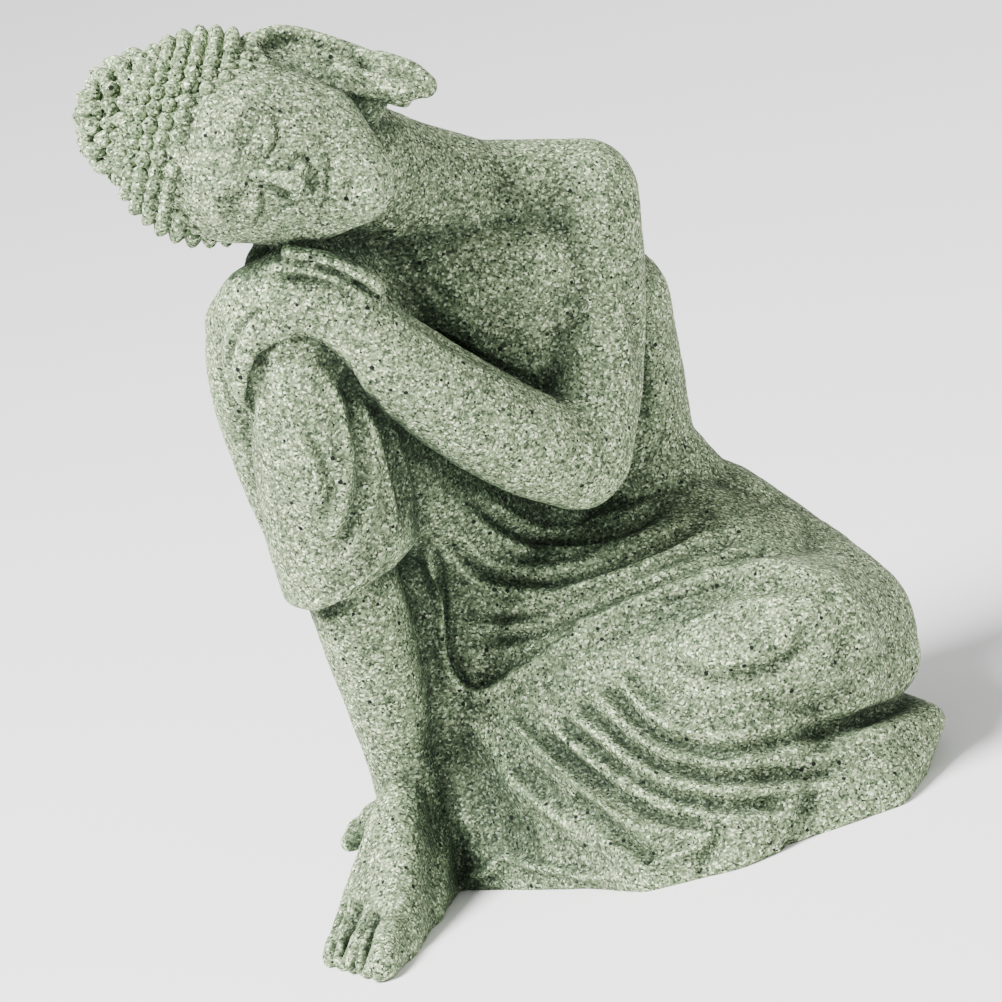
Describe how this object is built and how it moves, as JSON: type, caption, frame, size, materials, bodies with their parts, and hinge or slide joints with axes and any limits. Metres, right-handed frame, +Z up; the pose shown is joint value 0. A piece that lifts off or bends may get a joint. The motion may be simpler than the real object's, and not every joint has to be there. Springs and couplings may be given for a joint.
{
  "type": "aquarium buddha ornament",
  "caption": "Resting seated buddha figure with its head on a raised knee, cast in one piece of green sand and resin, standing on a flat underside.",
  "frame": {"origin": "middle of the figure's footprint, on the flat underside", "axes": "+Z up, -Y the way the chest and the raised knee face, +X to the viewer's right from the front, which is the figure's left"},
  "size_m": [0.1008, 0.074, 0.14],
  "materials": {
    "cast_stone": "matt green-grey sand bound with resin, with a fine speckled grain"
  },
  "bodies": {
    "root": {"seated_figure": "cast_stone"}
  },
  "joints": []
}
